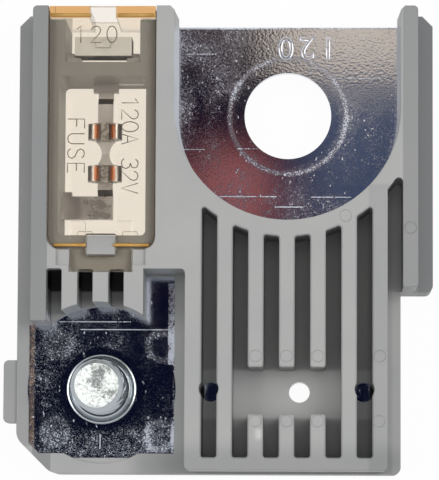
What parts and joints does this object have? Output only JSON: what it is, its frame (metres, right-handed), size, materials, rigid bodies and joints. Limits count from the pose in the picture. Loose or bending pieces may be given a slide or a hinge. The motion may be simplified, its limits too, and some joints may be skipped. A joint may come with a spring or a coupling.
{
  "type": "battery fuse",
  "caption": "Battery-mounted fuse block: moulded housing round a tinned bus plate with a battery terminal hole, a stud terminal, cooling ribs and a fuse strip behind a clear cover.",
  "frame": {"origin": "centre of the battery terminal hole, on the underside of the bus plate", "axes": "+Z out of the front face along both terminals, +Y from the stud terminal towards the battery terminal, +X away from the fuse window"},
  "size_m": [0.0492, 0.0528, 0.015],
  "materials": {
    "grey_nylon": "matte",
    "tinned_copper": "bright tin plate",
    "tin": "satin",
    "zinc_steel": "bright zinc plate",
    "amber_clear": "clear gloss"
  },
  "bodies": {
    "root": {"housing": "grey_nylon", "bus_plate": "tinned_copper", "upper_tin_pellet": "tin", "lower_tin_pellet": "tin", "terminal_stud": "zinc_steel", "window_cover": "amber_clear"}
  },
  "joints": []
}
